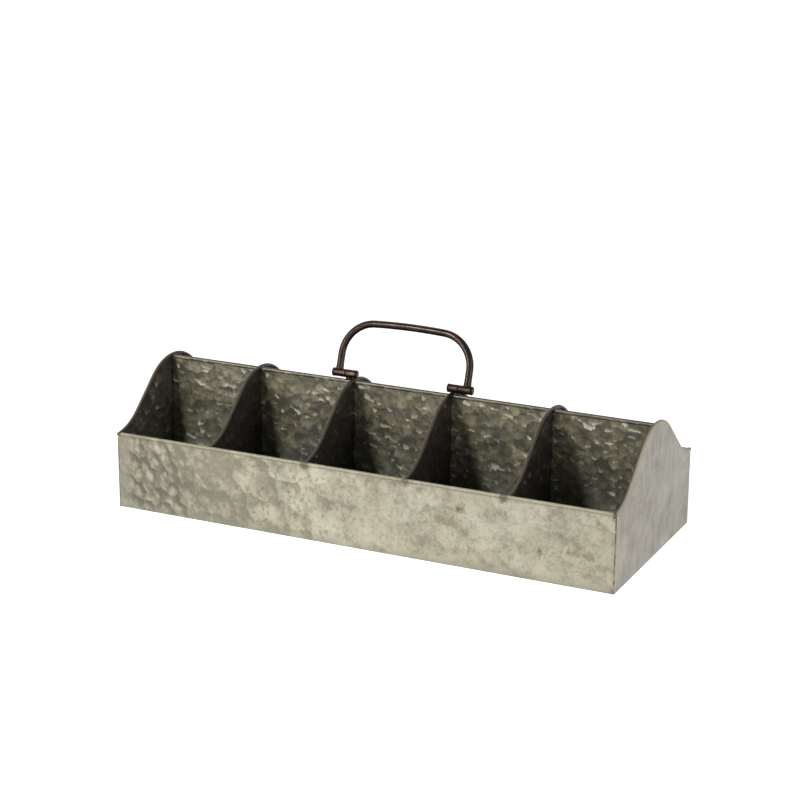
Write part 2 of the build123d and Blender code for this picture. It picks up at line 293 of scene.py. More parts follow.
# The long walls: one sheet each, its top edge curled inwards round a wire into a bead of 3.7 mm. The zinc
# outside is acid-washed to a warm cream, cobbled with crystals towards the left end and cloudy elsewhere.
half_length = cad_box[1][0]
bead_radius = 1.85 * mm
bead_middle = bead_radius - half_sheet
bead_proud = 0.5 * mm
bead_gap = 0.05 * mm
crease_drop = 3.0 * mm
fold_step = 5
flat_rows = 36
curl_in_start = math.radians(215)
curl_in_end = math.radians(-100)


def dents(u, v, size, seed):
    """Slow unevenness of a hand-worked sheet, between about -1 and 1: six sine waves in chosen directions,
    with lengths near size and random phases."""
    waves = 6
    random = np.random.default_rng(seed)
    total = 0.0
    for k in range(waves):
        angle = math.pi * (k + random.uniform(0, 1)) / waves
        length = size * random.uniform(0.6, 1.6)
        along = u * math.cos(angle) + v * math.sin(angle)
        total = total + np.sin(2 * math.pi * along / length + random.uniform(0, 2 * math.pi))
    return total / (waves / 2)


def ramp_in(distance, reach):
    """0 where the distance is 0 or less, rising evenly to 1 at reach."""
    return np.clip(distance / reach, 0, 1)


def curl(centre_across, start, end):
    """The top of a wired sheet, across and up from the bead's centre: a short S-bend out of the sheet, which
    is a Hermite curve, then the sheet's middle follows a circle round the wire from one angle to the other,
    until its cut edge comes back to the sheet."""
    leave_share = 0.62
    pull = 0.9
    foot = np.array([-centre_across, -crease_drop])
    leave = np.array([-centre_across, -crease_drop * leave_share])
    meet = bead_middle * np.array([math.cos(start), math.sin(start)])
    heading = np.array([math.sin(start), -math.cos(start)])
    reach = pull * np.linalg.norm(meet - leave)
    t = np.linspace(0, 1, 9)[:, None]
    hermite = ((2 * t**3 - 3 * t**2 + 1) * leave + (t**3 - 2 * t**2 + t) * reach * np.array([0, 1])
               + (3 * t**2 - 2 * t**3) * meet + (t**3 - t**2) * reach * heading)
    angles = np.linspace(start, end, 27)[1:, None]
    circle = bead_middle * np.concatenate([np.cos(angles), np.sin(angles)], axis=1)
    line = np.concatenate([foot[None], hermite, circle])
    return line[:, 0] + centre_across, line[:, 1]


def bead_values(across, up, rows_below):
    """What the rows of a wired sheet carry: the crease, 1 at the row fold_step where the S-bend leaves the
    sheet and fading as exp(-d^2) on both sides, and the bead, 0 below the crease and rising evenly along
    the section to 1 at the curl's cut edge."""
    crease_width = 0.7 * mm
    arc = np.concatenate([[0], np.cumsum(np.hypot(np.diff(across), np.diff(up)))])
    fold = arc[fold_step]
    crease = np.exp(-((arc - fold) / crease_width)**2)
    bead = np.clip((arc - fold) / (arc[-1] - fold), 0, 1)
    return {"crease": np.concatenate([np.zeros(rows_below), crease])[:, None],
            "bead": np.concatenate([np.zeros(rows_below), bead])[:, None]}


def wash_marks(x, z, top, crossings):
    """Where the wash has run or pooled on a wall's face, from 0 to 1.5: spots below the rim at each
    divider's foot, where the solder's heat has burnt it, and wider blots, which are listed: x, z,
    width and height in mm, and strength. A spot fades as exp(-d^2), its distance d counted in its own
    width and height."""
    burn_drop = 2.5 * mm
    burn_height = 4.5 * mm
    burn_shifts = (2, 0, 0, -5)
    burn_widths = (4, 5.5, 8, 5.5)
    burn_strengths = (0.6, 1.7, 1.25, 1.6)
    blots = [(251, 69, 3, 3, 1.1), (252, 2, 2, 4, 1.3), (-70, 6, 4, 12, 0.9), (86, 43, 5, 6, 0.8),
             (98, 40, 6, 4, 0.6), (112, 33, 5, 5, 0.7), (106, 56, 5, 5, 0.8), (98, 50, 18, 16, 0.3),
             (115, 18, 3, 7, 0.5), (137, 6, 3, 3, 0.8), (183, 27, 4, 6, 0.9), (198, 28, 5, 4, 0.5),
             (212, 32, 7, 5, 0.7), (228, 30, 8, 5, 0.8), (190, 60, 4, 4, 0.6), (-160, 6, 6, 6, 0.9),
             (-128, 14, 5, 5, 0.8), (-189, 58, 7, 6, 0.9), (150, 58, 2, 4, 0.6)]
    spots = [(foot + shift * mm, top - burn_drop, width * mm, burn_height, strength)
             for foot, shift, width, strength in zip(crossings, burn_shifts, burn_widths, burn_strengths)]
    spots += [(*(size * mm for size in blot[:4]), blot[4]) for blot in blots]
    total = np.zeros(x.shape)
    for x_spot, z_spot, width, height, strength in spots:
        total = total + strength * np.exp(-((x - x_spot) / width)**2 - ((z - z_spot) / height)**2)
    return np.clip(total, 0, 1.5)


def wall_grid(middle_y, side, x_reach, bead_reach, top, crossings, seed):
    """A long wall as rows of its section, bottom to bead, carried along X, its flat swollen by slow dents
    that fade out towards its edges. Columns past the bead's ends stop below it."""
    swell_height = 0.22 * mm
    swell_wave = 45 * mm
    bead_z = top - bead_radius
    across, up = curl(bead_radius - bead_proud - half_sheet, curl_in_start, curl_in_end)
    flat = np.linspace(0, bead_z - crease_drop, flat_rows)[:-1]
    rows_z = np.concatenate([flat, bead_z + up])
    rows_a = np.concatenate([np.zeros(len(flat)), across])
    columns = np.unique(np.concatenate([np.linspace(-x_reach, x_reach, 320), [-bead_reach, bead_reach]]))
    x, z = np.meshgrid(columns, rows_z)
    fade = ramp_in(x_reach - abs(x), 20 * mm) * ramp_in(z, 15 * mm)
    fade = fade * ramp_in(bead_z - crease_drop - z, 10 * mm)
    swell = swell_height * dents(x, z, swell_wave, seed) * fade
    y = side * (abs(middle_y) - rows_a[:, None] + swell)
    keep = abs(x[:-1, :-1] + x[1:, 1:]) / 2 < bead_reach
    keep[:len(flat)] = True
    points = np.stack([x, y, z], axis=-1)
    values = bead_values(across, up, len(flat))
    values["marks"] = wash_marks(-side * x, z, top, crossings)
    if side > 0:
        points = points[:, ::-1]
        keep = keep[:, ::-1]
        values["marks"] = values["marks"][:, ::-1]
    return grid(points, keep, **values)


def washed_zinc(name):
    """Acid-washed galvanised steel: crystals under a thin warm patina. Towards the left end they show as
    domed cobbles of 11.5 mm, broken up by pebbles of 6.5 mm, painted paler towards their lower left and in
    their middles, some with a painted crescent of shade at the upper right. From there on the patina is a
    cloudy cream with arched crystals of 20 mm, painted lighter on their lit side and shaded on the other,
    broken dark lines along borders, small specks, greenish brown blots and burns below the rim, and a dark
    seam at the corners. Along the crease the colour has painted shade, the bead a painted highlight and is
    dark past its top, partly painted shade, and the foot has a painted grey sheen."""
    cobble = 11.5 * mm
    pebble = 6.5 * mm
    arch = 20.0 * mm
    line_cell = 9.0 * mm
    cloud_size = 18.0 * mm
    mottle_size = 5.0 * mm
    speck_size = 3.2 * mm
    grain_size = 1.5 * mm
    left_edge = 2.0 * mm - half_length
    lit_side = (-0.62, 0.0, -0.78)
    material, output = new_material(name)
    place = add(material, "TexCoord").outputs["Object"]
    axes = add(material, "SeparateXYZ", {0: place})
    upright = add(material, "VectorMath", {0: place, 1: (1.12, 1.0, 0.9)}, operation="MULTIPLY")
    cloud = add(material, "TexNoise", {"Vector": place, "Scale": 1 / cloud_size, "Detail": 5.0,
                                       "Roughness": 0.62})
    mottle = add(material, "TexNoise", {"Vector": place, "Scale": 1 / mottle_size, "Detail": 3.0,
                                        "Roughness": 0.6})
    speck = add(material, "TexNoise", {"Vector": place, "Scale": 1 / speck_size, "Detail": 1.0})
    grain = add(material, "TexNoise", {"Vector": place, "Scale": 1 / grain_size, "Detail": 2.0})
    warm = add(material, "TexNoise", {"Vector": place, "Scale": 1 / (2 * cloud_size), "Detail": 3.0})

    # The cream patina: it darkens towards the cobbles along a slanting line, x plus 0.4 of the height.
    slant = add_up(material, axes.outputs["X"], (axes.outputs["Z"], 0.4))
    fading = add(material, "MapRange", {"Value": slant, "From Min": -125 * mm, "From Max": -25 * mm,
                                        "To Min": -0.40, "To Max": 0.0})
    clean = add(material, "MapRange", {"Value": axes.outputs["X"], "From Min": 120 * mm,
                                       "From Max": 200 * mm, "To Max": 0.06})
    arches, bow, crown = crystals(material, place, arch, 8.0 * mm, lit_side, 0.15)
    busy = add(material, "MapRange", {"Value": axes.outputs["X"], "From Min": -110 * mm,
                                      "From Max": 20 * mm, "To Min": 1.0, "To Max": 0.35})
    # The arched crystals' lean and dome make them lighter towards their lit side and in their middles:
    # painted light and shade.
    arched = add_up(material, 0.0, (bow, 0.22), (crown, 0.20))
    cream = add_up(material, -0.74, (arched, busy), (arches.outputs["Green"], 0.22), (mottle, 0.50),
                   (cloud, 1.10), (grain, 0.50), (fading, 1.0), (clean, 1.0))
    cream = add(material, "ValToRGB", {0: cream},
                stops=[(0.0, "#7F7A69"), (0.20, "#958F7E"), (0.40, "#ABA691"), (0.58, "#BAB5A1"),
                       (0.82, "#C7C3B1")])
    yellow = add(material, "MapRange", {"Value": warm, "From Min": 0.42, "From Max": 0.66, "To Max": 0.3})
    cream = add(material, "Mix", {"Factor": yellow, "A": cream, "B": "#B8B194"}, data_type="RGBA")

    # The cobbles and the pebbles among them, with painted light and shade: each paler towards its lower left
    # and in its middle, and some with a painted crescent of shade at the upper right.
    stones, tilt, dome = crystals(material, upright, cobble, 6.0 * mm, lit_side, 0.15)
    small, slope = crystals(material, upright, pebble, 4.5 * mm, lit_side, 0.2)[:2]
    share = add_up(material, -0.06, (stones.outputs["Red"], -0.20))
    painted_crescent_shade = add(material, "MapRange", {"Value": tilt, "From Min": -0.15, "From Max": -0.85},
                   interpolation_type="SMOOTHSTEP")
    tone = add_up(material, -0.48, (painted_crescent_shade, share), (tilt, 0.26), (dome, 0.46), (slope, 0.12),
                  (small.outputs["Green"], 0.24), (stones.outputs["Green"], 0.26), (cloud, 0.40),
                  (mottle, 0.60))
    cobbles = add(material, "ValToRGB", {0: tone},
                  stops=[(0.0, "#625E4F"), (0.34, "#7D7866"), (0.54, "#918C79"), (0.72, "#A29E8B"),
                         (0.95, "#B5B2A1")])

    # Dark over the cream: the shaded sides of some arched crystals, broken lines and specks.
    shade = add(material, "MapRange", {"Value": bow, "From Min": -0.35, "From Max": -1.0, "To Max": 0.5},
                interpolation_type="SMOOTHSTEP")
    shade = add(material, "Math", {0: shade, 1: arches.outputs["Blue"]}, operation="MULTIPLY")
    border = add(material, "TexVoronoi", {"Vector": wavy(material, place, line_cell, 5.0 * mm),
                                          "Scale": 1 / line_cell}, feature="DISTANCE_TO_EDGE")
    line = add(material, "MapRange", {"Value": border, "From Min": 0.12, "From Max": 0.02, "To Max": 0.9})
    broken = add(material, "MapRange", {"Value": mottle, "From Min": 0.50, "From Max": 0.40})
    line = add(material, "Math", {0: line, 1: broken}, operation="MULTIPLY")
    dark = add(material, "Math", {0: shade, 1: line}, operation="MAXIMUM")
    dark = add(material, "Math", {0: dark, 1: busy}, operation="MULTIPLY")
    speck = add(material, "MapRange", {"Value": speck, "From Min": 0.68, "From Max": 0.75, "To Max": 0.45})
    dark = add(material, "Math", {0: dark, 1: speck}, operation="MAXIMUM")
    cream = add(material, "Mix", {"Factor": dark, "A": cream, "B": "#7B755F"}, data_type="RGBA")

    # Where the cobbles take over from the cream, with a ragged border, and the plainer left corner.
    leftness = add(material, "MapRange", {"Value": slant, "From Min": -183 * mm, "From Max": -113 * mm,
                                          "To Min": 0.45, "To Max": -0.75}, clamp=False)
    leftness = add_up(material, leftness, (warm, 0.8), (mottle, 0.5))
    leftness = add(material, "MapRange", {"Value": leftness, "From Min": 0.0, "From Max": 1.1})
    face = add(material, "Mix", {"Factor": leftness, "A": cream, "B": cobbles}, data_type="RGBA")
    corner = add(material, "MapRange", {"Value": axes.outputs["X"], "From Min": left_edge + 17 * mm,
                                        "From Max": left_edge + 7 * mm, "To Max": 0.6})
    face = add(material, "Mix", {"Factor": corner, "A": face, "B": "#99927F"}, data_type="RGBA")

    # The crease with painted shade, the rim with a painted highlight, the blots and burns, the seams at the
    # corners, and a painted sheen at the foot of the wall.
    crease = add(material, "Attribute", attribute_name="crease").outputs["Fac"]
    # Painted shade along the crease under the bead.
    uneven = add(material, "MapRange", {"Value": cloud, "From Min": 0.42, "From Max": 0.60, "To Max": 0.5})
    crease = add(material, "Math", {0: crease, 1: uneven}, operation="MULTIPLY")
    face = add(material, "Mix", {"Factor": crease, "A": face, "B": "#7F785A"}, data_type="RGBA")
    bead = add(material, "Attribute", attribute_name="bead").outputs["Fac"]
    on_bead = add(material, "MapRange", {"Value": bead, "From Max": 0.05, "To Max": 0.55})
    # The bead: a lighter band on its upper outer side is a painted highlight, and the dark past its top is
    # partly painted shade.
    rim = add(material, "ValToRGB", {0: bead}, stops=[(0.0, "#857F66"), (0.20, "#8A846D"), (0.38, "#9C9780"),
                                                     (0.55, "#3C362B")])
    worn = add(material, "MapRange", {"Value": cloud, "From Min": 0.46, "From Max": 0.60, "To Max": 0.5})
    rim = add(material, "Mix", {"Factor": worn, "A": rim, "B": "#827B5C"}, data_type="RGBA")
    face = add(material, "Mix", {"Factor": on_bead, "A": face, "B": rim}, data_type="RGBA")
    marks = add(material, "Attribute", attribute_name="marks").outputs["Fac"]
    marks = add_up(material, -1.2, (mottle, 2.4), (marks, 1.0))
    blot = add(material, "MapRange", {"Value": marks, "From Min": 0.42, "From Max": 0.54, "To Max": 0.6})
    face = add(material, "Mix", {"Factor": blot, "A": face, "B": "#878069"}, data_type="RGBA")
    burn = add(material, "MapRange", {"Value": marks, "From Min": 0.78, "From Max": 1.10, "To Max": 0.8})
    face = add(material, "Mix", {"Factor": burn, "A": face, "B": "#5A503F"}, data_type="RGBA")
    seam = add(material, "Math", {0: axes.outputs["X"]}, operation="ABSOLUTE")
    seam = add_up(material, seam, (mottle, 1.6 * mm))
    seam = add(material, "MapRange", {"Value": seam, "From Min": half_length - 1.2 * mm,
                                      "From Max": half_length - 0.2 * mm, "To Max": 0.9})
    gaps = add(material, "MapRange", {"Value": mottle, "From Min": 0.42, "From Max": 0.52, "To Min": 0.25})
    seam = add(material, "Math", {0: seam, 1: gaps}, operation="MULTIPLY")
    face = add(material, "Mix", {"Factor": seam, "A": face, "B": "#4C3F32"}, data_type="RGBA")
    # A grey painted sheen along the foot of the wall.
    foot = add(material, "MapRange", {"Value": axes.outputs["Z"], "From Min": 9.0 * mm, "From Max": 1.0 * mm})
    foot = add(material, "Math", {0: foot, 1: mottle}, operation="MULTIPLY")
    face = add(material, "Mix", {"Factor": foot, "A": face, "B": "#8E8E80"}, data_type="RGBA")
    relief = add_up(material, 0.0, (tilt, 0.15), (dome, 0.8))
    return zinc_surface(material, output, face, stones, relief, grain, 0.25, 0.58)


outside_zinc = washed_zinc("acid_washed_galvanised_steel")

divider_x = [(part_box(f"divider_{i}")[0].x + bead_radius) for i in (1, 2, 3, 4)]
wall_low, wall_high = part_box("front_wall")
wall_bead_reach = half_length - 2 * bead_radius - bead_gap
wall_middle_y = abs(wall_low.y) - bead_proud - half_sheet
for side, name in ((-1, "front_wall"), (1, "back_wall")):
    wall = wall_grid(side * wall_middle_y, side, wall_high.x, wall_bead_reach, wall_high.z, divider_x, 7)
    piece(name + "_sheet", [wall], [outside_zinc, inside_zinc], "tray", [name],
          sheet_thickness)

# The end panels: ogee sheets, low at the corners and high in the middle, the ogee's edge curled inwards
# round a wire. Their zinc is smoother and greyer than the walls', with a fine upright grain.
end_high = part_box("right_end_panel")[1]
crest_z = end_high.z
half_depth = cad_box[1][1]
crest_radius = 58.0 * mm
slope_share = 0.757
foot_runout = 4.4 * mm


def ogee(reach, inset, step, extra=()):
    """The line of an ogee rim in the YZ plane from y = -reach to reach, moved inwards by inset: crest arc,
    straight slope and foot arc on each side. The slope's angle is slope_share of the one at which two arcs
    would meet with no straight between them, and the radii follow from the rise and the run. Returns y, z
    and the angle that its normal leans from upright, at even steps and at the extra places in y."""
    rise = crest_z - wall_high.z
    foot_end = half_depth + foot_runout
    slope = slope_share * 2 * math.atan(rise / foot_end)
    both_radii = (foot_end * math.sin(slope) - rise * math.cos(slope)) / (1 - math.cos(slope))
    foot_radius = both_radii - crest_radius
    end = math.asin((foot_end - reach) / (foot_radius + inset))
    crest_turn = np.linspace(0, slope, 60)
    foot_turn = np.linspace(slope, end, 60)
    y = np.concatenate([(crest_radius - inset) * np.sin(crest_turn),
                        foot_end - (foot_radius + inset) * np.sin(foot_turn)])
    z = np.concatenate([crest_z - crest_radius + (crest_radius - inset) * np.cos(crest_turn),
                        wall_high.z + foot_radius - (foot_radius + inset) * np.cos(foot_turn)])
    lean = np.concatenate([crest_turn, foot_turn])
    y, z, lean = (np.concatenate([f * half[:0:-1], half]) for f, half in ((-1, y), (1, z), (-1, lean)))
    along = np.concatenate([[0], np.cumsum(np.hypot(np.diff(y), np.diff(z)))])
    stations = np.linspace(0, along[-1], int(along[-1] / step))
    stations = np.union1d(stations, np.interp(extra, y, along))
    return [np.interp(stations, along, values) for values in (y, z, lean)]


def ogee_grid(middle_x, inward, centre_across, start, end, reach, sheet_reach, bottom, seed, cut_below=None):
    """An ogee sheet: the flat stands upright under the rim's line, the curl is carried along it. Columns past
    sheet_reach have no flat, and cut_below opens a slot from below to that height in the middle column."""
    rim_step = 1.7 * mm
    swell_height = 0.2 * mm
    swell_wave = 60 * mm
    slot_half = half_sheet + 0.1 * mm
    y_line, z_line, lean = ogee(reach, bead_radius, rim_step,
                                (-sheet_reach, sheet_reach, -slot_half, slot_half))
    across, up = curl(centre_across, start, end)
    y_curl = y_line + up[:, None] * np.sin(lean)
    z_curl = z_line + up[:, None] * np.cos(lean)
    share = np.linspace(0, 1, 30)[:-1]
    if cut_below:
        share = np.union1d(share, [(cut_below - bottom) / (z_curl[0].max() - bottom)])
    y_flat = np.broadcast_to(y_curl[0], (len(share), len(y_line)))
    z_flat = bottom + share[:, None] * (z_curl[0] - bottom)
    y = np.concatenate([y_flat, y_curl])
    z = np.concatenate([z_flat, z_curl])
    a = np.concatenate([np.zeros(len(share)), across])[:, None]
    fade = ramp_in(sheet_reach - abs(y), 15 * mm) * ramp_in(z, 15 * mm) * ramp_in(z_curl[0] - z, 12 * mm)
    if cut_below:
        fade = fade * ramp_in(abs(y) - slot_half, 12 * mm)
    x = middle_x + inward * a + swell_height * dents(y, z, swell_wave, seed) * fade
    keep = np.ones((len(y) - 1, y.shape[1] - 1), bool)
    keep[:len(share) + 1, abs(y_line[1:] + y_line[:-1]) / 2 > sheet_reach] = False
    if cut_below:
        middle = abs(y_line[1:] + y_line[:-1]) / 2 < slot_half
        below = z[:-1, len(y_line) // 2] < cut_below - weld_distance
        keep &= ~(below[:, None] & middle)
    points = np.stack([x, y, z], axis=-1)
    if inward > 0:
        points = points[:, ::-1]
        keep = keep[:, ::-1]
    return grid(points, keep, **bead_values(across, up, len(share)))


def folded_flange(corner, toward, along, width, low, high):
    """A flange: the sheet's last stretch turns through a quarter circle from the direction toward into the
    direction along, and runs on flat for the rest of the width."""
    turn = np.linspace(0, math.pi / 2, bend_points)
    ahead = np.concatenate([bend_radius * np.sin(turn), [bend_radius] * 4])
    aside = np.concatenate([bend_radius * (1 - np.cos(turn)), np.linspace(bend_radius, width, 5)[1:]])
    heights = np.linspace(low, high, 14)
    start = np.array(corner) - bend_radius * np.array(toward)
    line = start + ahead[:, None] * np.array(toward) + aside[:, None] * np.array(along)
    points = np.zeros((len(heights), len(line), 3))
    points[:, :, :2] = line
    points[:, :, 2] = heights[:, None]
    return grid(points, crease=0.0, bead=0.0)


def smooth_zinc(name):
    """Smooth galvanised steel: an even neutral grey with faint upright streaks of 1 to 3 mm from the rolling,
    a warm edge along the corners, a darker line along the foot, partly a dark edge and partly painted
    contact shade, and a rim that turns from a thin pale line into a dark olive grey, partly stain and partly
    painted shade on the bead's inner side."""
    streak_width = 3.0 * mm
    cloud_size = 24.0 * mm
    grain_size = 1.2 * mm
    spangle = 10.0 * mm
    lit_side = (0.0, 0.3, -0.9)
    material, output = new_material(name)
    place = add(material, "TexCoord").outputs["Object"]
    axes = add(material, "SeparateXYZ", {0: place})
    drawn = add(material, "VectorMath", {0: place, 1: (1.0, 1.0, 0.22)}, operation="MULTIPLY")
    streak = add(material, "TexNoise", {"Vector": drawn, "Scale": 1 / streak_width, "Detail": 4.0,
                                        "Roughness": 0.6})
    cloud = add(material, "TexNoise", {"Vector": place, "Scale": 1 / cloud_size, "Detail": 5.0,
                                       "Roughness": 0.6})
    grain = add(material, "TexNoise", {"Vector": place, "Scale": 1 / grain_size, "Detail": 2.0})
    tone = add_up(material, -0.75, (streak, 0.80), (cloud, 1.00), (grain, 0.7))
    colour = add(material, "ValToRGB", {0: tone},
                 stops=[(0.22, "#8B8679"), (0.50, "#A5A094"), (0.78, "#BAB6AB")])
    corner = add(material, "Math", {0: axes.outputs["Y"]}, operation="ABSOLUTE")
    corner = add(material, "MapRange", {"Value": corner, "From Min": half_depth - 5.1 * mm,
                                        "From Max": half_depth - 2.1 * mm, "To Max": 0.5})
    colour = add(material, "Mix", {"Factor": corner, "A": colour, "B": "#AFA893"}, data_type="RGBA")
    # Darker at the foot: partly a dark edge, partly painted contact shade.
    foot = add(material, "MapRange", {"Value": axes.outputs["Z"], "From Min": 1.4 * mm, "From Max": 0.4 * mm,
                                      "To Max": 0.6})
    colour = add(material, "Mix", {"Factor": foot, "A": colour, "B": "#817C74"}, data_type="RGBA")
    bead = add(material, "Attribute", attribute_name="bead").outputs["Fac"]
    on_bead = add(material, "MapRange", {"Value": bead, "From Max": 0.04})
    # The rim: pale on its outer side, then dark olive grey on its inner side, partly stain and partly painted
    # shade.
    rim = add(material, "ValToRGB", {0: bead}, stops=[(0.05, "#A8A391"), (0.32, "#A2987F"), (0.43, "#6A5E4C"),
                                                     (0.52, "#382E24")])
    colour = add(material, "Mix", {"Factor": on_bead, "A": colour, "B": rim}, data_type="RGBA")
    random, lean = crystals(material, place, spangle, 4.0 * mm, lit_side, 0.5)[:2]
    return zinc_surface(material, output, colour, random, lean, grain, 0.35, 0.5)


end_zinc = smooth_zinc("smooth_galvanised_steel_end")
# The dividers' zinc, painted near black as shade, with a lighter line at the top of the bead as a painted
# highlight.
shade_painted_zinc = aged_zinc("shade_painted_galvanised_steel", "#45423A", "#302E28", "#1F1D1A", "#282825", "#6E6B5E",
                        0.15, [(0.15, "#261E16"), (0.51, "#33291E"), (0.58, "#69563D"), (0.80, "#4C4437")],
                        0.0)
# The end panels' inside: aged inside zinc painted darker than the other inside faces, as painted shade.
shade_darkened_end_zinc = aged_zinc("shade_darkened_galvanised_steel_inside", "#7C7868", "#5B584E", "#3B3933", "#53534F", "#A9A896",
                       0.28, [(0.2, "#2E261D"), (0.8, "#544C40")], 0.0)

end_middle_x = end_high.x - bead_proud - half_sheet
end_bead_reach = end_high.y
wall_inner_y = wall_middle_y - half_sheet
flange_gap = 0.3 * mm
flange_low = pan_high.z + flange_gap
flange_high = wall_high.z - 2 * bead_radius - bead_gap - flange_gap
corner_flange = 10.0 * mm
for side, name in ((-1, "left_end_panel"), (1, "right_end_panel")):
    grids = [ogee_grid(side * end_middle_x, -side, bead_radius - bead_proud - half_sheet, curl_in_start,
                       curl_in_end, end_bead_reach, wall_inner_y, 0.0, 11 + side)]
    for end in (-1, 1):
        corner = (side * end_middle_x, end * (wall_inner_y - half_sheet))
        grids.append(folded_flange(corner, (0, end), (-side, 0), corner_flange, flange_low, flange_high))
    piece(name + "_sheet", grids, [end_zinc, shade_darkened_end_zinc], "tray", [name], sheet_thickness)

# The centre partition: a long sheet with its top edge curled round a wire, in five stretches between the
# dividers' rims, its ends folded against the end panels, and slots from above that the dividers sit in.
partition_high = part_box("centre_partition")[1]
curl_over_start = math.radians(248)
curl_over_end = math.radians(-62)
slot_clearance = 0.1 * mm
slot_foot_z = 0.5 * (partition_high.z - bead_radius)
partition_flange = 8.0 * mm
partition_flange_high = crest_z - 4.5 * mm


def partition_grid(reach, bead_reach, bottom, top, slot_z, places):
    """The partition as rows of its section carried along X. Between the edges of a slot the rows above its
    foot are left out, and beside a divider's rim so are the curl's rows above the underside of that rim."""
    swell_height = 0.25 * mm
    swell_wave = 50 * mm
    bead_z = top - bead_radius
    across, up = curl(0.0, curl_over_start, curl_over_end)
    flat = np.union1d(np.linspace(bottom, bead_z - crease_drop, flat_rows)[:-1], [slot_z])
    rows_z = np.concatenate([flat, bead_z + up])
    rows_a = np.concatenate([np.zeros(len(flat)), across])
    slot_half = half_sheet + slot_clearance
    notch_half = bead_radius + slot_clearance
    rim_foot_z = crest_z - 2 * bead_radius - slot_clearance
    cuts = [x + offset for x in places for offset in (-notch_half, -slot_half, slot_half, notch_half)]
    columns = np.unique(np.concatenate([np.linspace(-reach, reach, 253), cuts, [-bead_reach, bead_reach]]))
    x, z = np.meshgrid(columns, rows_z)
    middle = (columns[1:] + columns[:-1]) / 2
    nearest = np.min(np.abs(middle[:, None] - np.array(places)), axis=1)
    in_curl = np.arange(len(rows_z) - 1)[:, None] >= len(flat)
    beside_rim = in_curl & (np.maximum(z[:-1, :-1], z[1:, :-1]) > rim_foot_z)
    keep = ~((nearest < slot_half) & (z[:-1, :-1] > slot_z - weld_distance))
    keep &= ~((nearest < notch_half) & beside_rim)
    keep &= ~((abs(middle) > bead_reach) & in_curl)
    near_slot = np.min(np.abs(x[..., None] - np.array(places)), axis=-1)
    fade = ramp_in(near_slot - slot_half, 12 * mm) * ramp_in(bead_z - crease_drop - z, 10 * mm)
    fade = fade * ramp_in(z - bottom, 15 * mm) * ramp_in(reach - abs(x), 15 * mm)
    y = rows_a[:, None] + swell_height * dents(x, z, swell_wave, 23) * fade
    return grid(np.stack([x, y, z], axis=-1), keep, **bead_values(across, up, len(flat)))


grids = [partition_grid(partition_high.x - sheet_thickness - slot_clearance, wall_bead_reach, sheet_thickness,
                        partition_high.z, slot_foot_z, divider_x)]
for side in (-1, 1):
    corner = (side * (partition_high.x - half_sheet), 0.0)
    grids.append(folded_flange(corner, (side, 0), (0, 1), half_sheet + partition_flange, flange_low,
                               partition_flange_high))
piece("centre_partition_sheet", grids, [inside_zinc, inside_zinc], "tray",
      ["centre_partition"], sheet_thickness)

# The four cross dividers: the same ogee as the ends, the curl set over the sheet, with a flange folded to
# the right at each long wall and a slot from below that straddles the partition. Their zinc is painted near
# black, as painted shade for the compartments' deep sides.
divider_bead_reach = half_depth - 2 * bead_radius - bead_gap
divider_flange = 6.8 * mm
for number, x in enumerate(divider_x, start=1):
    grids = [ogee_grid(x, -1, 0.0, curl_over_start, curl_over_end, divider_bead_reach, wall_inner_y,
                       sheet_thickness, 30 + number, slot_foot_z + slot_clearance)]
    for end in (-1, 1):
        corner = (x, end * (wall_inner_y - half_sheet))
        grids.append(folded_flange(corner, (0, end), (1, 0), divider_flange, flange_low, flange_high))
    piece(f"divider_{number}_sheet", grids, [shade_painted_zinc, shade_painted_zinc], "tray",
          [f"divider_{number}"], sheet_thickness)

# The rim wires: drawn steel wire of 2.4 mm inside the beads, seen only at their cut ends. Dull grey, with
# fine scratches from the drawing die, drawn as coarse as 1.5 mm so that they show.
scratch_size = 1.5 * mm
drawn_wire, output = new_material("drawn_steel_wire")
place = add(drawn_wire, "TexCoord").outputs["Object"]
scratch = add(drawn_wire, "TexNoise", {"Vector": place, "Scale": 1 / scratch_size, "Detail": 3.0})
tone = add(drawn_wire, "ValToRGB", {0: scratch}, stops=[(0.35, "#6A655C"), (0.65, "#8C887E")])
wire_shader = add(drawn_wire, "BsdfPrincipled", {"Base Color": tone, "Metallic": 0.9, "Roughness": 0.4})
drawn_wire.node_tree.links.new(wire_shader.outputs[0], output.inputs["Surface"])
for name, node in frame["nodes"].items():
    if "wire" in name:
        node.data.materials.clear()
        node.data.materials.append(drawn_wire)

# The bail handle: a steel rod of 7 mm bent into an arch, its feet brazed to the knuckles. It has an antique
# copper-bronze lacquer, in clouds from nearly black to a pinkish brown.
hinge_axis_z = frame["joints"][0]["pos_m"][2]
bail_lean = math.radians(18.5)
bail_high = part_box("bail_handle")[1]
rod_radius = 3.55 * mm
rod_foot = 2.4 * mm
knuckle_low, knuckle_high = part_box("right_knuckle")
knuckle_radius = (knuckle_high.y - knuckle_low.y) / 2
bail_leg_x = bail_high.x - rod_radius
bail_rise = (bail_high.z - hinge_axis_z - rod_radius) / math.cos(bail_lean)
bail_corner = 32.0 * mm
bail_crown = 640.0 * mm


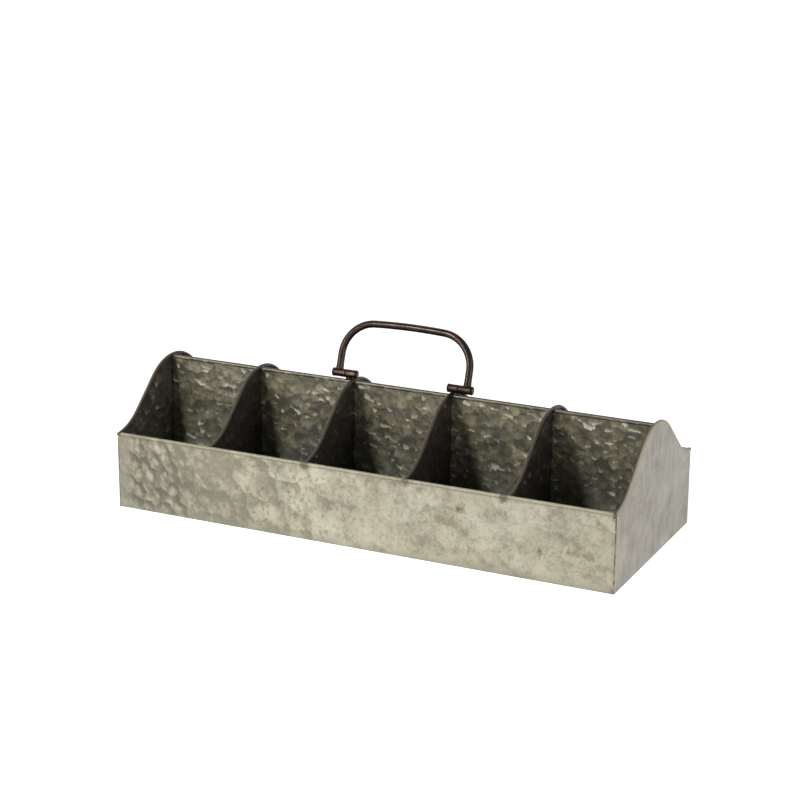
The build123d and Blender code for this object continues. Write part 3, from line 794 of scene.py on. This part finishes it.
def bronze_lacquer(name, colours, spread, smoothest, roughest):
    """Antique bronze lacquer over smooth steel: clouds of 13 mm through four colours from near black to
    brown, the wider apart the greater the spread, and glossy enough to carry one narrow highlight, with a
    roughness between smoothest and roughest. Below the hinge axis it turns near black: painted shade under
    the tubes, and partly dark residue from the brazing."""
    cloud_size = 13.0 * mm
    grain_size = 1.4 * mm
    shade_under_from = hinge_axis_z - 2.45 * mm
    shade_under_to = hinge_axis_z - 4.25 * mm
    cloud_rise = 0.015 * mm
    grain_rise = 0.004 * mm
    material, output = new_material(name)
    place = add(material, "TexCoord").outputs["Object"]
    patch = add(material, "TexNoise", {"Vector": place, "Scale": 1 / cloud_size, "Detail": 4.0,
                                       "Roughness": 0.55})
    fine = add(material, "TexNoise", {"Vector": place, "Scale": 1 / grain_size, "Detail": 3.0})
    tone = add_up(material, 0.44 - 0.5 * spread, (fine, 0.12), (patch, spread))
    colour = add(material, "ValToRGB", {0: tone}, stops=list(zip((0.32, 0.50, 0.66, 0.84), colours)))
    height = add(material, "SeparateXYZ", {0: place}).outputs["Z"]
    # Painted shade: near black below the hinge axis, under the tubes, with some residue from the brazing.
    shade_under_hinge = add(material, "MapRange", {"Value": height, "From Min": shade_under_from, "From Max": shade_under_to,
                                      "To Max": 0.85})
    colour = add(material, "Mix", {"Factor": shade_under_hinge, "A": colour, "B": "#17130F"}, data_type="RGBA")
    gloss = add(material, "ValToRGB", {0: patch}, stops=[(0.35, roughest), (0.62, smoothest)])
    relief = add_up(material, 0.0, (patch, cloud_rise), (fine, grain_rise))
    bump = add(material, "Bump", {"Height": relief, "Strength": 0.25, "Distance": 1.0})
    shader = add(material, "BsdfPrincipled", {"Base Color": colour, "Metallic": 0.8, "Roughness": gloss,
                                              "Normal": bump})
    material.node_tree.links.new(shader.outputs[0], output.inputs["Surface"])
    return material


def bail_line(foot, count):
    """The rod's centre line in the bail's own plane, as across and up from the hinge axis: a leg, a corner
    of 32 mm, the crown of 640 mm, the other corner and leg. Returns the points and their unit headings."""
    corner_x = bail_leg_x - bail_corner
    between = bail_crown - bail_corner
    corner_z = bail_rise - bail_crown + math.sqrt(between**2 - corner_x**2)
    crown_turn = math.asin(corner_x / between)
    leg = np.linspace(foot, corner_z, 16)[:-1]
    corner = np.linspace(math.pi / 2, crown_turn, count)[:-1]
    crown = np.linspace(crown_turn, 0, count)
    across = np.concatenate([np.full(len(leg), bail_leg_x), corner_x + bail_corner * np.sin(corner),
                             bail_crown * np.sin(crown)])
    up = np.concatenate([leg, corner_z + bail_corner * np.cos(corner),
                         bail_rise - bail_crown + bail_crown * np.cos(crown)])
    turn = np.concatenate([np.full(len(leg), math.pi / 2), corner, crown])
    across = np.concatenate([across, -across[-2::-1]])
    up = np.concatenate([up, up[-2::-1]])
    heading = np.stack([-np.cos(turn), np.sin(turn)], axis=-1)
    heading = np.concatenate([heading, heading[-2::-1] * [1, -1]])
    return across, up, heading


def rod_grid(foot, sides):
    """The rod as circles of points round its centre line. The radius shrinks by up to 0.02 mm in shallow
    marks of the bending and grows at the feet into the brazing; each end narrows to fit inside its knuckle
    and closes in a point. Last the plane of the bail leans back about the hinge axis."""
    braze_height = 0.35 * mm
    braze_reach = 4.0 * mm
    mark_depth = 0.01 * mm
    mark_size = 40 * mm
    round_share = 6 * mm
    across, up, heading = bail_line(foot, 28)
    along = np.concatenate([[0], np.cumsum(np.hypot(np.diff(across), np.diff(up)))])
    angle = np.linspace(0, 2 * math.pi, sides + 1)
    to_end = np.minimum(along, along[-1] - along)
    braze = braze_height * np.exp(-((to_end / braze_reach)**2))
    marks = mark_depth * (1 + dents(along[:, None], round_share * np.sin(angle), mark_size, 5))
    radius = rod_radius + braze[:, None] - np.clip(marks, 0, 2 * mark_depth)
    radius[[0, -1]] = np.minimum(radius[[0, -1]], math.sqrt(knuckle_radius**2 - foot**2))
    radius[:, -1] = radius[:, 0]
    out = radius * np.cos(angle)
    back = radius * np.sin(angle)
    x = across[:, None] - out * heading[:, 1:]
    h = up[:, None] + out * heading[:, :1]
    x = np.concatenate([np.full((1, sides + 1), across[0]), x, np.full((1, sides + 1), across[-1])])
    h = np.concatenate([np.full((1, sides + 1), up[0]), h, np.full((1, sides + 1), up[-1])])
    back = np.concatenate([np.zeros((1, sides + 1)), back, np.zeros((1, sides + 1))])
    y = back * math.cos(bail_lean) + h * math.sin(bail_lean)
    z = hinge_axis_z + h * math.cos(bail_lean) - back * math.sin(bail_lean)
    return grid(np.stack([x, y, z], axis=-1)[:, ::-1])


bronze = bronze_lacquer("antique_bronze_lacquered_steel", ("#1A120D", "#291E17", "#382B23", "#4E3F35"),
                        0.9, 0.18, 0.27)
piece("bail_rod", [rod_grid(rod_foot, 24)], [bronze], "bail", ["bail_handle"])

# The two hinges: a sleeve brazed on the partition's rim, a knuckle that turns with the bail, and a rivet
# through both with a domed head at each end. All are turned or forged steel under the same lacquer.
pin_radius = 2.0 * mm
bore_radius = pin_radius + 0.05 * mm
edge_round = 0.8 * mm
head_thickness = 1.2 * mm
tube_wobble = 0.12 * mm
head_wobble = 0.08 * mm
saddle_waist = 1.5 * mm
saddle_base = 2.4 * mm
saddle_gap = 0.3 * mm
hinge_sides = 28
black_bronze = bronze_lacquer("blackened_rivet_steel", ("#120E0B", "#16110E", "#1B1512", "#211A16"),
                              0.8, 0.26, 0.34)
brown_bronze = bronze_lacquer("brown_lacquered_hinge_steel", ("#170F0B", "#25190F", "#35261A", "#4E3C2E"),
                              1.4, 0.34, 0.46)


def turned(x, r, side, wobble=0.0, seed=0):
    """A profile of places along the hinge axis and radii, turned round that axis: circles of points, whose
    radius shrinks by up to the wobble in shallow marks. A radius of zero closes the surface in a point."""
    mark_length = 2.2 * mm
    angle = np.linspace(0, 2 * math.pi, hinge_sides + 1)
    shrink = wobble * (0.5 + 0.5 * np.sin(3 * angle + seed) * np.cos(x[:, None] / mark_length + seed))
    radius = np.maximum(r[:, None] - shrink * (r[:, None] > bore_radius + edge_round), 0)
    points = np.stack([np.broadcast_to(side * x[:, None], radius.shape), radius * np.cos(angle),
                       hinge_axis_z + radius * np.sin(angle)], axis=-1)
    return grid(points if side < 0 else points[:, ::-1])


def tube_profile(low, high, radius):
    """A short tube's closed profile: its outside with rounded ends, its end faces and its bore."""
    turn = np.linspace(0, math.pi / 2, 6)
    body = np.linspace(low + edge_round, high - edge_round, 14)[1:-1]
    x = np.concatenate([[low], low + edge_round * (1 - np.sin(turn[::-1])), body,
                        high - edge_round * (1 - np.sin(turn)), [high, low]])
    r = np.concatenate([[bore_radius], radius - edge_round * (1 - np.cos(turn[::-1])),
                        np.full(len(body), radius), radius - edge_round * (1 - np.cos(turn)),
                        [bore_radius, bore_radius]])
    return x, r


def rivet_profile(low, high, head, radius):
    """A rivet's profile: a domed head of that thickness and radius, the shank, and the other head. The
    domes are quarter circles, made fuller by powers of their sine and cosine."""
    turn = np.linspace(0, math.pi / 2, 9)
    dome_x = head * (1 - np.sin(turn[::-1]) ** 0.8)
    dome_r = radius * np.cos(turn[::-1]) ** 0.55
    x = np.concatenate([low + dome_x[::-1], [low + head, high - head], high - dome_x])
    r = np.concatenate([dome_r[::-1], [pin_radius, pin_radius], dome_r])
    return x, r


def saddle_grid(low, high, side, foot_z, top_z, waist, base):
    """The sleeve's foot: a section that spreads from its waist to its base in a concave curve, carried along
    the axis and closed in a point at both ends."""
    rise = np.linspace(0, 1, 8)
    half = waist + (base - waist) * (1 - rise) ** 2.5
    y = np.concatenate([half, -half[::-1], half[:1]])
    z = np.concatenate([foot_z + rise * (top_z - foot_z), top_z + (foot_z - top_z) * rise, [foot_z]])
    middle_z = (foot_z + top_z) / 2
    x = np.array([low, low, high, high])
    size = np.array([0.0, 1.0, 1.0, 0.0])[:, None]
    points = np.stack([np.broadcast_to(side * x[:, None], (4, len(y))), size * y,
                       middle_z + size * (z - middle_z)], axis=-1)
    return grid(points[:, ::-1] if side < 0 else points)


for side, end in ((-1, "left"), (1, "right")):
    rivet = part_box(f"{end}_hinge_pin")
    knuckle_x = sorted(abs(corner.x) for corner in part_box(f"{end}_knuckle"))
    sleeve_x = sorted(abs(corner.x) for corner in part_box(f"{end}_hinge_sleeve"))
    rivet_x = sorted(abs(corner.x) for corner in rivet)
    head_radius = (rivet[1].y - rivet[0].y) / 2
    tube = turned(*tube_profile(*knuckle_x, knuckle_radius), side, tube_wobble, 1.0)
    piece(f"{end}_bail_knuckle", [tube], [brown_bronze], "bail", [f"{end}_knuckle"])
    tube = turned(*tube_profile(*sleeve_x, knuckle_radius), side, tube_wobble, 2.5)
    foot_inner_x = abs(divider_x[1]) + bead_radius + saddle_gap
    saddle = saddle_grid(foot_inner_x, sleeve_x[1], side, partition_high.z,
                         hinge_axis_z - bore_radius - saddle_gap, saddle_waist, saddle_base)
    piece(f"{end}_fixed_sleeve", [tube, saddle], [brown_bronze], "tray",
          [f"{end}_hinge_sleeve"])
    rod = turned(*rivet_profile(*rivet_x, head_thickness, head_radius), side, head_wobble, 4.0)
    piece(f"{end}_hinge_rivet", [rod], [black_bronze], "tray", [f"{end}_hinge_pin"])

# Solder closes the curled rims at the four top corners: tin solder run on with an iron, dulled to a dark
# brown grey, and filed roughly to the corner's shape.
file_mark = 2.5 * mm
solder, output = new_material("dulled_tin_solder")
place = add(solder, "TexCoord").outputs["Object"]
patch = add(solder, "TexNoise", {"Vector": place, "Scale": 1 / file_mark, "Detail": 4.0})
colour = add(solder, "ValToRGB", {0: patch}, stops=[(0.35, "#4E4638"), (0.65, "#807763")])
bump = add(solder, "Bump", {"Height": patch, "Strength": 0.5, "Distance": 0.4 * mm})
solder_shader = add(solder, "BsdfPrincipled", {"Base Color": colour, "Metallic": 0.35, "Roughness": 0.5,
                                               "Normal": bump})
solder.node_tree.links.new(solder_shader.outputs[0], output.inputs["Surface"])
frame["nodes"]["corner_solder_caps"].data.materials.clear()
frame["nodes"]["corner_solder_caps"].data.materials.append(solder)

# The stage: a large white floor, and the camera where the picture was taken from, as fitted to the tray's
# corners. The floor's glow lifts it to white for what looks at it and gives no light to the tray.
camera_place = (0.8287, -1.7479, 0.7085)
camera_turn = (72.933, -0.388, 25.542)
camera_data = bpy.data.cameras.new("camera")
camera_data.lens = 96.39
camera_data.sensor_width = 36.0
camera_data.clip_end = 50.0
camera = bpy.data.objects.new("camera", camera_data)
camera.location = camera_place
camera.rotation_euler = [math.radians(angle) for angle in camera_turn]
bpy.context.scene.collection.objects.link(camera)
bpy.context.scene.camera = camera
bpy.context.scene.view_settings.view_transform = "Standard"

floor_reach = 6.0
floor_drop = 0.3 * mm
floor_glow = 0.94
floor_mesh = bpy.data.meshes.new("floor")
corners = [(x * floor_reach, y * floor_reach, -floor_drop) for x, y in ((-1, -1), (1, -1), (1, 1), (-1, 1))]
floor_mesh.from_pydata(corners, [], [(0, 1, 2, 3)])
floor = bpy.data.objects.new("floor", floor_mesh)
bpy.context.scene.collection.objects.link(floor)


def seen_directly(material):
    """1 for rays from the camera and for those that metal or glass sends on, 0 for light itself."""
    path = add(material, "LightPath")
    seen = add(material, "Math", {0: path.outputs["Is Camera Ray"], 1: path.outputs["Is Glossy Ray"]},
               operation="MAXIMUM")
    return add(material, "Math", {0: seen, 1: path.outputs["Is Transmission Ray"]}, operation="MAXIMUM")


paper, output = new_material("white_paper_sweep")
lift = add(paper, "Math", {0: seen_directly(paper), 1: floor_glow}, operation="MULTIPLY")
diffuse = add(paper, "BsdfDiffuse", {"Color": linear("#EDEDED")})
glow = add(paper, "Emission", {"Color": (1, 1, 1, 1), "Strength": lift})
both = add(paper, "AddShader", {0: diffuse, 1: glow})
paper.node_tree.links.new(both.outputs[0], output.inputs["Surface"])
floor_mesh.materials.append(paper)

# The studio round it: white where it is seen, and as light a bright band at the horizon under a dim ceiling,
# so that the open compartments stay dark as deep places do.
world = bpy.data.worlds.new("studio")
bpy.context.scene.world = world
world.use_nodes = True
world.node_tree.nodes.clear()
output = add(world, "OutputWorld")
direction = add(world, "TexCoord").outputs["Generated"]
rise = add(world, "SeparateXYZ", {0: direction}).outputs["Z"]
ambient = add(world, "MapRange", {"Value": rise, "From Min": 0.10, "From Max": 0.42, "To Min": 0.26,
                                  "To Max": 0.06}, interpolation_type="SMOOTHSTEP")
strength = add(world, "Mix", {"Factor": seen_directly(world), "A": ambient, "B": 1.0})
sky = add(world, "Background", {"Color": (1, 1, 1, 1), "Strength": strength})
world.node_tree.links.new(sky.outputs[0], output.inputs["Surface"])

# The lamps: a near soft key from the front left, which throws the dividers' shadows on the partition, a
# wide weak fill from the right, and a narrow strip that shows only in reflections, along the bail's rod.


def soft_lamp(name, place, target, width, height, power):
    """A soft box at a place, turned to face a target."""
    data = bpy.data.lights.new(name, "AREA")
    data.shape = "RECTANGLE"
    data.size = width
    data.size_y = height
    data.energy = power
    lamp = bpy.data.objects.new(name, data)
    lamp.location = place
    away = np.array(place) - np.array(target)
    lamp.rotation_euler = (math.atan2(math.hypot(away[0], away[1]), away[2]), 0,
                           math.atan2(away[0], -away[1]))
    bpy.context.scene.collection.objects.link(lamp)
    return lamp


middle = (0.0, 0.0, 0.06)
soft_lamp("key", (-0.50, -1.10, 0.94), middle, 0.25, 0.25, 13.4)
soft_lamp("fill", (2.5, -0.7, 0.55), middle, 2.0, 2.0, 33.0)
strip = soft_lamp("strip", (-0.87, -1.20, 0.41), middle, 0.18, 0.5, 11.5)
strip.visible_diffuse = False
